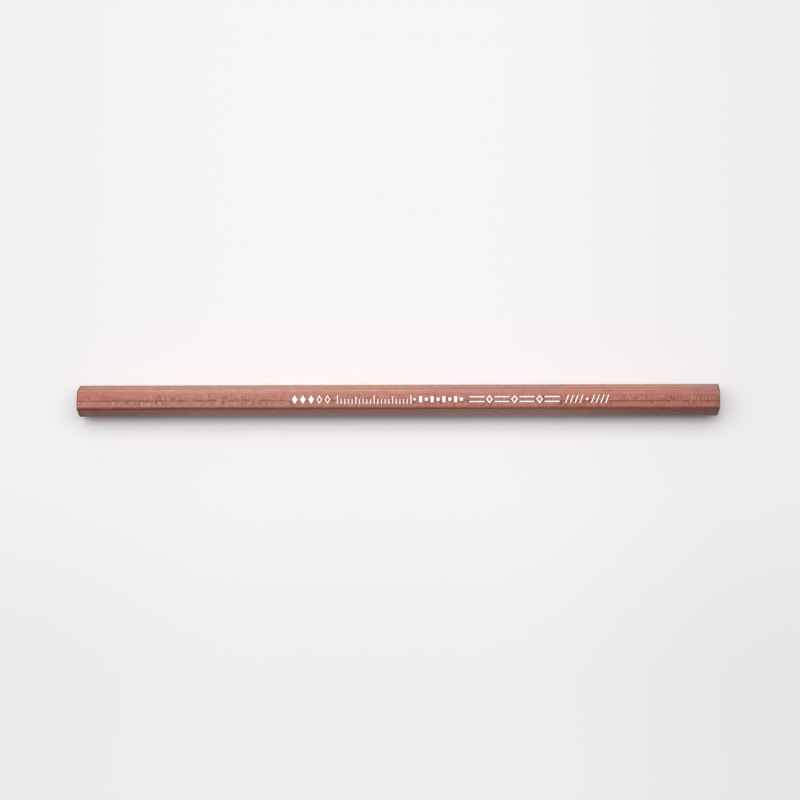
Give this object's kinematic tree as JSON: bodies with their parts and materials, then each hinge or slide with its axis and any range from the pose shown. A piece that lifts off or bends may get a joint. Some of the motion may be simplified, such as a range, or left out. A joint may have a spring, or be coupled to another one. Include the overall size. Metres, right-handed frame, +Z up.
{
  "type": "hexagonal charcoal pencil",
  "caption": "Unsharpened hexagonal charcoal pencil: two natural cedar slats glued round a black charcoal core, square-cut ends, white stamped marking on the top flat.",
  "frame": {"origin": "centre of the bottom flat that the pencil rests on, midway between the two cut ends", "axes": "+X along the barrel towards the tail end, whose side of the marking has the shorter blank length; +Y across the barrel towards the rear slat; +Z up, out of the marked flat"},
  "size_m": [0.175, 0.0088, 0.0078],
  "materials": {
    "cedar_front": "clear satin varnish over natural cedar",
    "cedar_rear": "clear satin varnish over natural cedar",
    "charcoal": "dry, matt, fine grained",
    "glue": "dried wood glue, thin dark line",
    "marking": "opaque white hot-stamped film, satin"
  },
  "bodies": {
    "root": {"front_slat": "cedar_front", "rear_slat": "cedar_rear", "charcoal_core": "charcoal", "core_bond": "glue", "seam_glue_upper": "glue", "seam_glue_lower": "glue", "stamped_pips": "marking", "stamped_scale": "marking", "stamped_squares": "marking", "stamped_band": "marking", "stamped_hatch": "marking"}
  },
  "joints": []
}
